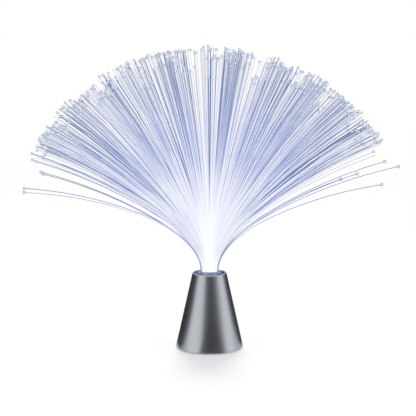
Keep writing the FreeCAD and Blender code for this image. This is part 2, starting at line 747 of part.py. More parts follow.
def battery_cell(doc, name, d, at, column, nub_side):
    """A cell on its side. nub_side is 1 where the nub is at the back and -1 at the front."""
    body = new_body(doc, name)
    x = at.cell_pitch * column
    can = d["cell_length"] - d["nub_height"]
    nub_end = at.contact_face - d["touch_gap"]
    shoulder = nub_end - d["nub_height"]
    lengths = ((d["cell_dia"] / 2, shoulder, can), (d["nub_radius"], nub_end, d["cell_length"]))
    for radius, end, length in lengths:
        start = -end if nub_side > 0 else end - length
        pad_circle(body, x, at.cell_axis, radius, length, "XZ_Plane", offset=start)
    return body


def contact(doc, name, d, at, left, right, side, tab=None):
    """Contact plate on the bay's end wall, with a solder tab through the roof if tab is
    given. side is 1 at the back and -1 at the front."""
    body = new_body(doc, name)
    half = d["contact_width"] / 2
    low = at.cell_axis - d["contact_height"] / 2
    high = low + d["contact_height"]
    outline = [(left - half, low), (right + half, low), (right + half, high)]
    if tab is not None:
        half_tab = d["tab_width"] / 2
        tip = at.bay_top + d["tab_height"]
        outline += [(tab + half_tab, high), (tab + half_tab, tip),
                    (tab - half_tab, tip), (tab - half_tab, high)]
    outline.append((left - half, high))
    start = -at.bay_half_y if side > 0 else at.contact_face
    pad(body, outline, d["contact_thickness"], "XZ_Plane", offset=start)
    return body


def contacts(doc, d, at):
    """The four plates that put the three cells in series."""
    pitch, zero = at.cell_pitch, size(0)
    return [
        contact(doc, "positive_contact", d, at, -pitch, -pitch, 1, tab=-pitch),
        contact(doc, "rear_bridge_contact", d, at, zero, pitch, 1),
        contact(doc, "front_bridge_contact", d, at, -pitch, zero, -1),
        contact(doc, "negative_contact", d, at, pitch, pitch, -1, tab=pitch),
    ]


def bow_spring(doc, name, d, at, column, side):
    """Bowed strip between a contact plate and the flat end of a cell."""
    body = new_body(doc, name)
    strip = d["spring_strip"]
    root = at.contact_face - d["touch_gap"]
    crown = at.contact_face + d["touch_gap"] - d["spring_space"] + d["touch_gap"]
    low, high = at.cell_axis - d["spring_half"], at.cell_axis + d["spring_half"]
    bend = d["spring_space"] - d["touch_gap"] * 4
    outline = [
        (root * side, low),
        (crown * side, at.cell_axis, bend * side),
        (root * side, high, bend * side),
        (root * side, high - strip),
        ((crown + strip) * side, at.cell_axis, (bend - strip) * -side),
        (root * side, low + strip, (bend - strip) * -side),
    ]
    pad(body, outline, d["spring_width"], "YZ_Plane", middle=True)
    place(body, at.cell_pitch * column)
    return body


def contact_springs(doc, d, at):
    springs = [bow_spring(doc, f"spring_{number}", d, at, column, side)
               for number, (column, side) in enumerate(((-1, -1), (0, 1), (1, -1)), start=1)]
    return group(doc, "contact_springs", springs)


# ---- slide switch ----


def switch_case(doc, d, at):
    """Case with two ears, open below where the knob's flange slides."""
    body = new_body(doc, "switch_case")
    middle, half = at.switch_place, d["case_width"] / 2
    low = at.plate_top
    length, ear = d["case_length"] / 2, d["ear_reach"]
    pad(body, rectangle(middle - half, middle + half, -length, length), d["case_height"],
        offset=low)
    pad(body, rectangle(middle - half, middle + half, -ear, ear), d["ear_thickness"], offset=low)
    room_x = half - d["case_wall"]
    room_y = (d["flange_length"] + d["knob_travel"]) / 2 + d["knob_gap"]
    room = rectangle(middle - room_x, middle + room_x, -room_y, room_y)
    cut_up(body, lambda s: draw_outline(s, room), d["flange_height"] + d["knob_gap"] * 2, low)
    hole = d["ear_screw_radius"] + d["thread_gap"]
    cut_up(body, circles(switch_screw_places(d, at), hole), d["ear_thickness"], low)
    return body


def switch_knob(doc, d, at):
    """Knob at the front end of its travel: a stem through the plate, with an inner flange."""
    x, y = at.switch_place, d["knob_travel"] / -2
    stem_low = at.plate_bottom + d["knob_rise"]
    flange_low = at.plate_top + d["knob_gap"]
    stem = block(doc, "knob_stem", x, y, stem_low, d["knob_width"], d["knob_length"],
                 flange_low - stem_low)
    flange = block(doc, "knob_flange", x, y, flange_low, d["flange_width"], d["flange_length"],
                   d["flange_height"])
    return fused(doc, "switch_knob", [stem, flange])


def switch_lugs(doc, d, at):
    lugs = []
    for number in (-1, 0, 1):
        lugs.append(block(doc, f"lug_{number + 2}", at.switch_place, d["lug_pitch"] * number,
                          at.plate_top + d["case_height"], d["lug_thickness"], d["lug_width"],
                          d["lug_height"]))
    return group(doc, "switch_lugs", lugs)


def switch_screws(doc, d, at):
    grip = d["plate_thickness"] - d["ear_screw_sink"] + d["ear_thickness"]
    return screws(doc, "switch_screws", switch_screw_places(d, at),
                  at.plate_bottom + d["ear_screw_sink"],
                  (d["ear_head_radius"], d["ear_head_height"]), (d["ear_screw_radius"], grip))


# ---- lamp board, light chamber and lens ----


def lens_disc(doc, d, at):
    """Lens with one convex face and a flat rim that rests on the chamber's shoulder."""
    sag = d["lens_sag"]
    convex = d["chamber_radius"] - d["lens_rim"]
    curve = (convex * convex + sag * sag) / (sag * 2)
    return turned(doc, "lens_disc", [
        (0, at.lens_bottom - sag),
        (convex, at.lens_bottom, -curve),
        (at.socket_radius, at.lens_bottom),
        (at.socket_radius, at.lens_bottom + d["lens_thickness"]),
        (0, at.lens_bottom + d["lens_thickness"]),
    ])


def board_screw_places(d, at):
    step = 360 / BOARD_SCREWS
    return [on_ring(at.board_screw_ring, BOARD_SCREW_START + step * n)
            for n in range(BOARD_SCREWS)]


def light_chamber(doc, d, at):
    """Reflector tube that holds the lens, pushed over the socket tube from below."""
    low = at.chamber_bottom
    shoulder = at.lens_bottom
    sleeve = at.tube_over_socket + d["chamber_wall"]
    top = at.socket_bottom + d["chamber_overlap"]
    body = turned(doc, "light_chamber", [
        (d["chamber_radius"], low),
        (d["board_radius"], low),
        (d["board_radius"], low + d["chamber_flange"]),
        (at.chamber_outer, low + d["chamber_flange"]),
        (at.chamber_outer, shoulder - d["chamber_wall"]),
        (sleeve, shoulder - d["chamber_wall"]),
        (sleeve, top),
        (at.tube_over_socket, top),
        (at.tube_over_socket, shoulder),
        (d["chamber_radius"], shoulder),
    ])
    boss_low = low + d["chamber_flange"]
    places = board_screw_places(d, at)
    sketch = new_sketch(body, "XY_Plane", boss_low)
    circles(places, d["board_boss_radius"])(sketch)
    new_feature(body, "Pad", sketch, Length=d["board_boss_height"])
    bore = d["board_screw_radius"] + d["thread_gap"]
    cut_up(body, circles(places, bore), d["chamber_flange"] + d["board_boss_height"], low)
    return body


def lamp_places(d):
    return [on_ring(d["led_ring"], angle) for _, angle in LAMPS]


def lead_places(d):
    half = d["lead_pitch"] / 2
    return [(x + half * side, y) for x, y in lamp_places(d) for side in (-1, 1)]


def led_board(doc, d, at):
    body = new_body(doc, "led_board")
    low = at.board_bottom
    pad_circle(body, 0, 0, d["board_radius"], d["board_thickness"], offset=low)
    cut_up(body, circles(lead_places(d), d["lead_radius"] + d["lead_gap"]),
           d["board_thickness"], low)
    cut_up(body, circles(board_screw_places(d, at), d["board_screw_radius"] + d["screw_gap"]),
           d["board_thickness"], low)
    return body


def lamp(doc, name, d, at, angle):
    """Round-topped lamp with a flange, over the board."""
    low = at.chamber_bottom + d["led_standoff"]
    flange = d["led_radius"] + d["led_flange"]
    shoulder = low + d["led_height"] - d["led_radius"]
    body = turned(doc, name, [
        (0, low),
        (flange, low),
        (flange, low + d["led_flange_height"]),
        (d["led_radius"], low + d["led_flange_height"]),
        (d["led_radius"], shoulder),
        (0, shoulder + d["led_radius"], -d["led_radius"]),
    ])
    x, y = on_ring(d["led_ring"], angle)
    return place(body, x, y)


def led_leads(doc, d, at):
    low = at.board_bottom - d["lead_tail"]
    top = at.chamber_bottom + d["led_standoff"]
    leads = [cylinder(doc, f"lead_{number}", x, y, low, d["lead_radius"], top - low)
             for number, (x, y) in enumerate(lead_places(d), start=1)]
    return group(doc, "led_leads", leads)


def driver_chip(doc, d, at):
    return block(doc, "driver_chip", 0, 0, at.board_bottom - d["chip_height"],
                 d["chip_length"], d["chip_width"], d["chip_height"])


def resistors(doc, d, at):
    pieces = [block(doc, f"resistor_{number + 2}", d["resistor_pitch"] * number,
                    d["resistor_place"], at.board_bottom - d["resistor_height"],
                    d["resistor_width"], d["resistor_length"], d["resistor_height"])
              for number in (-1, 0, 1)]
    return group(doc, "resistors", pieces)


def board_screws(doc, d, at):
    grip = d["board_thickness"] + d["chamber_flange"] + d["board_boss_height"] / 2
    return screws(doc, "board_screws", board_screw_places(d, at), at.board_bottom,
                  (d["board_head_radius"], d["board_head_height"]),
                  (d["board_screw_radius"], grip))


# ---- wires ----


def tube_along(points, radius):
    """A round tube on straight runs joined by tangent arcs. Each arc's radius is a share of
    the shorter run beside it, divided by the tangent of half the turn."""
    edges, radii, here = [], [], points[0]
    for before, corner, after in zip(points, points[1:], points[2:]):
        back, ahead = (before - corner).normalize(), (after - corner).normalize()
        run = min((before - corner).Length, (after - corner).Length)
        half_turn = (math.pi - back.getAngle(ahead)) / 2
        reach = WIRE_BEND_SHARE * run
        bend = reach / math.tan(half_turn)
        inward = (back + ahead).normalize()
        crown = corner + inward * (bend / math.cos(half_turn) - bend)
        start, end = corner + back * reach, corner + ahead * reach
        edges += [Part.LineSegment(here, start).toShape(), Part.Arc(start, crown, end).toShape()]
        radii.append(bend)
        here = end
    edges.append(Part.LineSegment(here, points[-1]).toShape())
    path = Part.Wire(edges)
    profile = Part.Circle(points[0], points[1] - points[0], radius).toShape()
    tube = path.makePipe(Part.Face(Part.Wire(profile)))
    return tube, radii, path.Length


def wire(doc, name, d, points):
    """An insulated wire as one tube; prints its bends and checks its volume."""
    radius = d["wire_dia"].value / 2
    tube, radii, length = tube_along([Vector(*(size(c).value for c in p)) for p in points], radius)
    whole = math.pi * radius**2 * length
    print(name, "bend radii", [round(r, 1) for r in radii],
          "volume over section times length", round(tube.Volume / whole, 4))
    feature = doc.addObject("Part::Feature", name)
    feature.Label = name
    feature.Shape = tube
    return feature


def wires(doc, d, at):
    """Three wires above the battery bay: cells to switch, switch to board and board to cells."""
    tab_z = at.bay_top + d["tab_height"] / 2
    clear = d["wire_dia"] / 2 + d["touch_gap"]
    lug_top = at.plate_top + d["case_height"] + d["lug_height"] + d["touch_gap"]
    board = at.board_bottom - d["touch_gap"]
    tab_y = at.contact_face - clear * 2
    pitch = at.cell_pitch
    switch = at.switch_place
    lug = d["lug_pitch"]
    return [
        wire(doc, "battery_lead_red", d, [
            (-pitch, tab_y, tab_z + 1.2), (-pitch + 3.5, tab_y - 6, tab_z + 4.8),
            (-pitch + 12, tab_y - 10, tab_z + 7.6), (-pitch + 22, tab_y - 13, tab_z + 8.2),
            (switch - 4.6, lug + 3.8, tab_z + 4.6), (switch, lug, tab_z - 1.2),
            (switch, lug, lug_top),
        ]),
        wire(doc, "switch_lead_red", d, [
            (switch, 0, lug_top), (switch, -0.6, lug_top + 5), (switch - 3.4, -3.2, lug_top + 11.5),
            (switch - 9.6, -5.6, lug_top + 15.2), (8.8, -6.7, board - 5.2), (8.8, -6.7, board),
        ]),
        wire(doc, "battery_lead_black", d, [
            (pitch, -tab_y, tab_z + 1.2), (pitch - 2.2, -tab_y + 5.4, tab_z + 4.6),
            (pitch - 8.2, -tab_y + 9.4, tab_z + 7.8), (-3.8, -12.6, tab_z + 9.6),
            (-8.6, -7.6, board - 5.6), (-8.6, -7.6, board),
        ]),
    ]


# ---- spray: bush, ferrule and fibres ----


def spray_bush(doc, d, at):
    """Flanged sleeve that carries the spray and lifts out of the socket with it."""
    low = at.dish_floor - d["bush_length"]
    flange = at.bush_flange_bottom
    return turned(doc, "spray_bush", [
        (at.bush_bore, low),
        (at.bush_radius, low),
        (at.bush_radius, flange),
        (at.bush_flange_radius, flange),
        (at.bush_flange_radius, flange + d["flange_thickness"]),
        (at.bush_bore, flange + d["flange_thickness"]),
    ])


def ferrule(doc, d, at):
    """Metal tube round the bundle, with a flange that turns on the bush."""
    flange = at.ferrule_flange_bottom
    return turned(doc, "ferrule", [
        (at.ferrule_bore, at.ferrule_bottom),
        (at.ferrule_radius, at.ferrule_bottom),
        (at.ferrule_radius, flange),
        (at.ferrule_flange_radius, flange),
        (at.ferrule_flange_radius, at.ferrule_flange_top),
        (at.ferrule_radius, at.ferrule_flange_top),
        (at.ferrule_radius, at.exit),
        (at.ferrule_bore, at.exit),
    ])


def bundle_grid(d, at):
    """Centres of the fibres in the bundle: rows in a close-packed round pattern."""
    pitch, radius = at.fibre_pitch.value, at.grid_radius.value
    row_height = pitch * math.sqrt(3) / 2
    rows = int(radius / row_height) + 1
    columns = int(radius / pitch) + 2
    points = []
    for row in range(-rows, rows + 1):
        for column in range(-columns, columns + 1):
            x, y = (column + 0.5 * (row % 2)) * pitch, row * row_height
            if math.hypot(x, y) <= radius + 1e-6:
                points.append((x, y))
    return points


def tuft_centres(d, at, chance):
    """Uneven centres, over the bundle, that the fibres gather to in tufts."""
    pitch = at.fibre_pitch.value * math.sqrt(d["tuft_fibres"].value)
    row_height = pitch * math.sqrt(3) / 2
    radius = at.grid_radius.value
    rows = int(radius / row_height) + 2
    across, along = math.cos(math.radians(TUFT_TURN)), math.sin(math.radians(TUFT_TURN))
    centres = []
    for row in range(-rows, rows + 1):
        for column in range(-rows - 1, rows + 2):
            x = (column + 0.5 * (row % 2) + chance.uniform(-TUFT_JITTER, TUFT_JITTER)) * pitch
            y = row * row_height + chance.uniform(-TUFT_JITTER, TUFT_JITTER) * pitch
            x, y = x * across - y * along, x * along + y * across
            if math.hypot(x, y) <= radius + TUFT_REACH * pitch:
                centres.append((x, y))
    return centres


def fan_of_fibres(d, at):
    """Every fibre as (x, y, lean along X, lean along Y, free length, bend length). The round
    bundle opens into a wide, shallow fan: a fibre leans further the further out it starts."""
    chance = random.Random(SEED)
    centres = tuft_centres(d, at, chance)
    tufts = {}
    for x, y in bundle_grid(d, at):
        nearest = min(range(len(centres)),
                      key=lambda n: (x - centres[n][0]) ** 2 + (y - centres[n][1]) ** 2)
        tufts.setdefault(nearest, []).append((x, y))
    radius = at.grid_radius.value
    fibres = []
    for number in sorted(tufts):
        tuft = tufts[number]
        middle_x = sum(x for x, _ in tuft) / len(tuft)
        middle_y = sum(y for _, y in tuft) / len(tuft)
        depth = middle_y / radius
        half = math.sqrt(max(LEAST_HALF, 1 - depth**2))
        side = max(-1, min(1, middle_x / radius / half))
        side = math.copysign(abs(side) ** EDGE_CROWDING, side)
        spread = (d["spread_left"] if side < 0 else d["spread_right"]).value
        lean_x = spread * side + chance.uniform(-LEAN_JITTER[0], LEAN_JITTER[0])
        lean_y = (d["spread_depth"].value * depth
                  + chance.uniform(-LEAN_JITTER[1], LEAN_JITTER[1]))
        length = d["fibre_length"].value * (1 + chance.uniform(*TUFT_LENGTHS))
        apart = d["tuft_lean"].value / at.fibre_pitch.value
        for x, y in tuft:
            fibres.append((
                x, y,
                lean_x + apart * (x - middle_x) + chance.uniform(-FIBRE_JITTER, FIBRE_JITTER),
                lean_y + apart * (y - middle_y) + chance.uniform(-FIBRE_JITTER, FIBRE_JITTER),
                length * (1 + chance.uniform(-FIBRE_LENGTHS, FIBRE_LENGTHS)),
                d["bend_length"].value,
            ))
    return with_strays(d, fibres)


def with_strays(d, fibres):
    """Lets the outermost fibre on each stray's side of the bundle take its own course."""
    fibres = list(fibres)
    taken = set()
    for side, lean_x, lean_y, length_share, bend_share in STRAYS:
        across, along = math.cos(math.radians(side)), math.sin(math.radians(side))
        free = [n for n in range(len(fibres)) if n not in taken]
        chosen = max(free, key=lambda n: (
            round(fibres[n][0] * across + fibres[n][1] * along, 6), -n))
        taken.add(chosen)
        x, y = fibres[chosen][:2]
        length = d["fibre_length"].value * length_share
        bend = d["bend_length"].value * bend_share
        fibres[chosen] = (x, y, lean_x, lean_y, length, bend)
    return fibres


def lean_share(distance, bend, length):
    """Share of its lean that a fibre has reached at a distance from the ferrule."""
    return (1 - SAG) * (1 - math.exp(-distance / bend)) + SAG * distance / length


def fibre_shape(fibre, radius, inner_length):
    """One fibre: a straight stretch in the ferrule, then arcs that lean it outwards, in the
    upright plane through its start. Z is counted from the ferrule's upper end."""
    x, y, lean_x, lean_y, length, bend = fibre
    lean = math.radians(math.hypot(lean_x, lean_y))
    heading = math.atan2(lean_y, lean_x)
    outward = Vector(math.cos(heading), math.sin(heading), 0)
    up = Vector(0, 0, 1)
    offset = x * outward.x + y * outward.y
    here = Vector(x, y, 0)
    edges = [Part.LineSegment(here - up * inner_length, here).toShape()]
    stations = [s * bend for s in BEND_STATIONS if s * bend < length] + [length]
    for start, end in zip(stations, stations[1:]):
        before, after = (lean * lean_share(s, bend, length) for s in (start, end))
        arc_radius = (end - start) / (after - before) - offset
        normal = [outward * math.cos(a) - up * math.sin(a)
                  for a in (before, (before + after) / 2, after)]
        centre = here + normal[0] * arc_radius
        crown, tip = centre - normal[1] * arc_radius, centre - normal[2] * arc_radius
        edges.append(Part.Arc(here, crown, tip).toShape())
        here = tip
    profile = Part.Circle(Vector(x, y, -inner_length), up, radius).toShape()
    return Part.Wire(edges).makePipe(Part.Face(Part.Wire(profile)))


def fibre_sheaves(doc, d, at):
    """The fibres, sorted from -X to +X and kept as sheaves of separate fibres."""
    fibres = sorted(fan_of_fibres(d, at), key=lambda f: (f[2], f[3]))
    radius = d["fibre_dia"].value / 2
    sheaves = []
    for number in range(FIBRE_NODES):
        first = len(fibres) * number // FIBRE_NODES
        last = len(fibres) * (number + 1) // FIBRE_NODES
        name = f"fibres_{number + 1:02d}"
        solids = [fibre_shape(f, radius, d["ferrule_length"].value) for f in fibres[first:last]]
        sheaf = doc.addObject("Part::Feature", name)
        sheaf.Label = name
        sheaf.Shape = Part.makeCompound(solids)
        sheaves.append(place(sheaf, z=at.exit))
    return sheaves


# ---- the whole lamp ----


def lamp_parts(doc, d, at):
    """Builds every piece and returns them in the order in which they go together."""
    parts = [
        cone_housing(doc, d, at), socket_collar(doc, d, at), retaining_nut(doc, d, at),
        base_plate(doc, d, at), base_screws(doc, d, at), rubber_feet(doc, d, at),
        battery_door(doc, d, at),
    ]
    for number, (column, nub_side) in enumerate(((-1, 1), (0, -1), (1, 1)), start=1):
        parts.append(battery_cell(doc, f"battery_cell_{number}", d, at, column, nub_side))
    parts += contacts(doc, d, at)
    parts += [
        contact_springs(doc, d, at), switch_case(doc, d, at), switch_knob(doc, d, at),
        switch_lugs(doc, d, at), switch_screws(doc, d, at), lens_disc(doc, d, at),
        light_chamber(doc, d, at), led_board(doc, d, at),
    ]
    parts += [lamp(doc, name, d, at, angle) for name, angle in LAMPS]
    parts += [
        led_leads(doc, d, at), driver_chip(doc, d, at), resistors(doc, d, at),
        board_screws(doc, d, at),
    ]
    parts += wires(doc, d, at)
    parts += [spray_bush(doc, d, at), ferrule(doc, d, at)]
    parts += fibre_sheaves(doc, d, at)
    return parts


def check(doc, parts):
    """Stops the build if any object failed or any piece is not a sound solid."""
    for obj in doc.Objects:
        if "Invalid" in obj.State or "Error" in obj.State:
            raise RuntimeError(f"{obj.Name} failed: {obj.State}")
    for part in parts:
        shape = part.Shape
        if shape.isNull() or not shape.isValid() or not shape.Solids:
            raise RuntimeError(f"{part.Label} has no valid solid")


def main():
    doc = FreeCAD.newDocument("fibre_optic_lamp")
    d = make_sheet(doc)
    parts = lamp_parts(doc, d, Levels(d))
    doc.recompute()
    check(doc, parts)
    os.makedirs("parts", exist_ok=True)
    for part in parts:
        part.Shape.exportStep(f"parts/{part.Label}.step")
        print(part.Label, len(part.Shape.Solids), round(part.Shape.Volume, 2))


main()
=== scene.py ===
import json
import math
import random

import bpy
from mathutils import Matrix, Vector


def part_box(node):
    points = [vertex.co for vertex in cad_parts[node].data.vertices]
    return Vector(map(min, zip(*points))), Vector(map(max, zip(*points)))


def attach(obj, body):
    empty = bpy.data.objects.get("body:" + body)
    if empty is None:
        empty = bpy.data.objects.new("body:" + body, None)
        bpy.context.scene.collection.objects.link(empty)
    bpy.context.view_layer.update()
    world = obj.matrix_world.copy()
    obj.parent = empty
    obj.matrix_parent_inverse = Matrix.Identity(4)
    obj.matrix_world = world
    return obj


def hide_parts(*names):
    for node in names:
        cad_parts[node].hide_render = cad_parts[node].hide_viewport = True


# Looks of a fibre optic lamp. Metres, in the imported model's frame: +Z up, the front is -Y.

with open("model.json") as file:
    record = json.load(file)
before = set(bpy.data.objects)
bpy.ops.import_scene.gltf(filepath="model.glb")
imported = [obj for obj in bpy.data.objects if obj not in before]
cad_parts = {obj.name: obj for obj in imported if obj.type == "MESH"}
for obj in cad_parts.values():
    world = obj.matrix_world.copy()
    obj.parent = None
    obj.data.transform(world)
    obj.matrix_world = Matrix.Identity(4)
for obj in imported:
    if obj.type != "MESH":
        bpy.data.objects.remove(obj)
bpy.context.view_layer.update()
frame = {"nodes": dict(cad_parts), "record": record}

MM = 0.001
NANOMETRE = 1e-9                # lengths that differ by less count as the same
NANOMETRE_DIGITS = 9

# ---- the spray's layout, as the part builds it ----

STRAND_DIA = 0.75 * MM
STRAND_GAP = 0.08 * MM
STRANDS_ACROSS = 23
FERRULE_LENGTH = 25.8 * MM
EXIT_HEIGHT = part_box("ferrule")[1][2]
FREE_LENGTH = 236.0 * MM        # usual length of a strand outside the ferrule
BEND_LENGTH = 30.0 * MM         # length in which a strand makes most of its bend
SPREAD_LEFT = 72.6              # final lean of the outermost strands to -X, in degrees
SPREAD_RIGHT = 68.2             # the same to +X
SPREAD_DEPTH = 33.3             # the same of the foremost and rearmost strands
TUFT_STRANDS = 5.0              # usual number of strands in a tuft
TUFT_LEAN = 2.1                 # lean between neighbouring strands of one tuft, in degrees
TUFT_JITTER = 0.30              # uneven spacing of the tufts, as a share of that spacing
LEAN_JITTER = (1.3, 0.9)        # uneven lean of whole tufts, in degrees, along X and Y
STRAND_JITTER = 0.13            # uneven lean of single strands, in degrees
TUFT_LENGTHS = (-0.017, 0.013)  # uneven free length of whole tufts, as shares of it
STRAND_LENGTHS = 0.005          # uneven free length of single strands, as a share of their tuft's
EDGE_CROWDING = 0.92            # below 1, the tufts crowd towards the ends of the fan
LEAST_HALF = 0.12               # keeps the front and rear tufts from leaning too far
TUFT_REACH = 0.7                # tuft centres lie up to this share of their spacing off the bundle
TUFT_TURN = 11.0                # turns the rows of tufts, so that they don't line up from the front
SEED = 94
# A strand bends by one arc from each station to the next, in multiples of its bend length.
BEND_STATIONS = (0.0, 0.55, 1.4, 2.8)
SAG = 0.29                      # share of its lean that a strand gains evenly over its free length
# Strands that stand out of the fan: the side of the bundle that each one leaves, in degrees
# from +X, its final lean along X and Y, and its free length and its bend length as multiples
# of the usual ones.
STRAYS = (
    (182, -88.0, -1.6, 0.980, 1.27), (176, -87.0, 2.6, 0.985, 1.24),
    (200, -75.0, -6.6, 0.912, 0.98), (207, -74.5, -7.7, 0.925, 0.98),
    (2, 82.2, 1.0, 0.927, 1.10), (350, 77.5, -3.3, 1.020, 1.08),
    (14, 74.7, 4.4, 0.980, 1.04), (334, 71.0, -7.7, 0.840, 0.96),
    (24, 72.0, 8.2, 0.767, 0.95),
)
FIBRE_NODES = 18                # the strands are kept as this many nodes, from -X to +X

PITCH = STRAND_DIA + STRAND_GAP
GRID_RADIUS = PITCH * (STRANDS_ACROSS - 1) / 2


class Strand:
    """One of the part's fibres: its place in the bundle, its lean and its lengths, with the
    place and lean of the tuft that it belongs to. A stray belongs to none."""

    def __init__(self, x, y, lean, length, bend, tuft=None):
        self.x, self.y, self.lean = x, y, lean
        self.length, self.bend, self.tuft = length, bend, tuft


def bundle_grid():
    """Centres of the strands in the bundle: rows in a close-packed round pattern."""
    row_height = PITCH * math.sqrt(3) / 2
    rows = int(GRID_RADIUS / row_height) + 1
    columns = int(GRID_RADIUS / PITCH) + 2
    points = []
    for row in range(-rows, rows + 1):
        for column in range(-columns, columns + 1):
            x, y = (column + 0.5 * (row % 2)) * PITCH, row * row_height
            if math.hypot(x, y) <= GRID_RADIUS + NANOMETRE:
                points.append((x, y))
    return points


def tuft_centres(chance):
    """Uneven centres, over the bundle, that the strands gather to in tufts."""
    pitch = PITCH * math.sqrt(TUFT_STRANDS)
    row_height = pitch * math.sqrt(3) / 2
    rows = int(GRID_RADIUS / row_height) + 2
    across, along = math.cos(math.radians(TUFT_TURN)), math.sin(math.radians(TUFT_TURN))
    centres = []
    for row in range(-rows, rows + 1):
        for column in range(-rows - 1, rows + 2):
            x = (column + 0.5 * (row % 2) + chance.uniform(-TUFT_JITTER, TUFT_JITTER)) * pitch
            y = row * row_height + chance.uniform(-TUFT_JITTER, TUFT_JITTER) * pitch
            x, y = x * across - y * along, x * along + y * across
            if math.hypot(x, y) <= GRID_RADIUS + TUFT_REACH * pitch:
                centres.append((x, y))
    return centres


def fan_of_strands():
    """All the part's strands. The round bundle opens into a wide, shallow fan: a strand leans
    further the further out it starts."""
    chance = random.Random(SEED)
    centres = tuft_centres(chance)
    tufts = {}
    for x, y in bundle_grid():
        nearest = min(range(len(centres)),
                      key=lambda n: (x - centres[n][0]) ** 2 + (y - centres[n][1]) ** 2)
        tufts.setdefault(nearest, []).append((x, y))
    strands = []
    for number in sorted(tufts):
        tuft = tufts[number]
        middle_x = sum(x for x, _ in tuft) / len(tuft)
        middle_y = sum(y for _, y in tuft) / len(tuft)
        depth = middle_y / GRID_RADIUS
        half = math.sqrt(max(LEAST_HALF, 1 - depth**2))
        side = max(-1, min(1, middle_x / GRID_RADIUS / half))
        side = math.copysign(abs(side) ** EDGE_CROWDING, side)
        spread = SPREAD_LEFT if side < 0 else SPREAD_RIGHT
        lean_x = spread * side + chance.uniform(-LEAN_JITTER[0], LEAN_JITTER[0])
        lean_y = SPREAD_DEPTH * depth + chance.uniform(-LEAN_JITTER[1], LEAN_JITTER[1])
        length = FREE_LENGTH * (1 + chance.uniform(*TUFT_LENGTHS))
        apart = TUFT_LEAN / PITCH
        for x, y in tuft:
            lean = (
                lean_x + apart * (x - middle_x) + chance.uniform(-STRAND_JITTER, STRAND_JITTER),
                lean_y + apart * (y - middle_y) + chance.uniform(-STRAND_JITTER, STRAND_JITTER),
            )
            own_length = length * (1 + chance.uniform(-STRAND_LENGTHS, STRAND_LENGTHS))
            strands.append(Strand(x, y, lean, own_length, BEND_LENGTH,
                                  (middle_x, middle_y, lean_x, lean_y)))
    return with_strays(strands)


def with_strays(strands):
    """Lets the outermost strand on each stray's side of the bundle take its own course."""
    strands = list(strands)
    taken = set()
    for side, lean_x, lean_y, length_share, bend_share in STRAYS:
        across, along = math.cos(math.radians(side)), math.sin(math.radians(side))
        free = [n for n in range(len(strands)) if n not in taken]
        chosen = max(free, key=lambda n: (
            round(strands[n].x * across + strands[n].y * along, NANOMETRE_DIGITS), -n))
        taken.add(chosen)
        old = strands[chosen]
        strands[chosen] = Strand(old.x, old.y, (lean_x, lean_y), FREE_LENGTH * length_share,
                                 BEND_LENGTH * bend_share)
    return strands


# ---- fibres as smooth tubes: each strand of a tuft is a few fine fibres here ----

LOOKS_SEED = 5
FINE_PER_STRAND = 4
FINE_DIA = 0.33 * MM
FINE_RING = 0.25 * MM           # radius of the ring on which a strand's fine fibres stand
FINE_LEAN = 2.85                # lean over one pitch in a tuft, in degrees, wide to fill the fan
FINE_JITTER = 0.30              # uneven lean of single fine fibres, in degrees
FINE_LENGTHS = (-3.5 * MM, 0.0)  # uneven free length of fine fibres, against their strand's
DEPTH_SHARE = 0.955             # keeps the fine fibres within the depth of the part's fan
THREADS = (0.15, 0.70)          # a shade below the first is a pale thread, above the second a deep one
THREAD_SPREAD = 0.03            # how far a thread's fibres spread, as a share of the others'
TUBE_SIDES = 5
MOST_TURN = 3.0                 # most that a tube bends from one ring to the next, in degrees
LEAST_STEPS = 3                 # fewest rings in one arc
TUFT_BEAD = 1.45 * MM           # radius of the bead at the tip of one fine fibre in each strand
STRAY_BEAD = 1.8 * MM           # radius of a stray's bead
BEAD_SIDES = 8
BEAD_RINGS = 7
BEAD_OVERLAP = 0.3 * MM         # how far a tube reaches into its bead
LEAST_STRETCH = 1.0 * MM        # least distance between a tube's last two rings before a bead
LEAST_RING = 0.02 * MM          # radius of the ring that closes a bead


class Fibre:
    """One fibre to draw, with the radius of its bead or 0 for none; the marks are what its
    material reads."""

    def __init__(self, x, y, lean, length, bend, diameter, bead, marks):
        self.x, self.y, self.lean, self.length, self.bend = x, y, lean, length, bend
        self.radius, self.bead, self.marks = diameter / 2, bead, marks


def fine_fibres(strand, chance):
    """A stray stays one fibre. Any other strand is a ring of fine fibres, which spread inside
    their tuft, or stay together as a thread where the strand is one of the palest or deepest.
    The first of them ends in a bead."""
    shade = chance.random()
    if strand.tuft is None:
        # A stray counts as outermost, so it takes the full painted edge shade.
        marks = {"side": 1.0, "own": shade}
        return [Fibre(strand.x, strand.y, strand.lean, strand.length, strand.bend,
                      STRAND_DIA, STRAY_BEAD, marks)]
    middle_x, middle_y, lean_x, lean_y = strand.tuft
    is_thread = not THREADS[0] < shade < THREADS[1]
    own_spread = THREAD_SPREAD if is_thread else 1.0
    jitter = FINE_JITTER * own_spread
    apart = FINE_LEAN / PITCH
    turn = chance.uniform(0, math.pi)
    fibres = []
    for number in range(FINE_PER_STRAND):
        angle = turn + 2 * math.pi * number / FINE_PER_STRAND
        off_x, off_y = FINE_RING * math.cos(angle), FINE_RING * math.sin(angle)
        x, y = strand.x + off_x, strand.y + off_y
        lean = (
            lean_x + apart * (strand.x - middle_x + own_spread * off_x)
            + chance.uniform(-jitter, jitter),
            DEPTH_SHARE * (lean_y + apart * (strand.y - middle_y + own_spread * off_y)
                           + chance.uniform(-jitter, jitter)),
        )
        length = strand.length + chance.uniform(*FINE_LENGTHS)
        own = shade if is_thread else chance.uniform(*THREADS)
        marks = {"side": abs(x) / GRID_RADIUS, "own": own}
        bead = TUFT_BEAD if number == 0 else 0.0
        fibres.append(Fibre(x, y, lean, length, strand.bend, FINE_DIA, bead, marks))
    return fibres


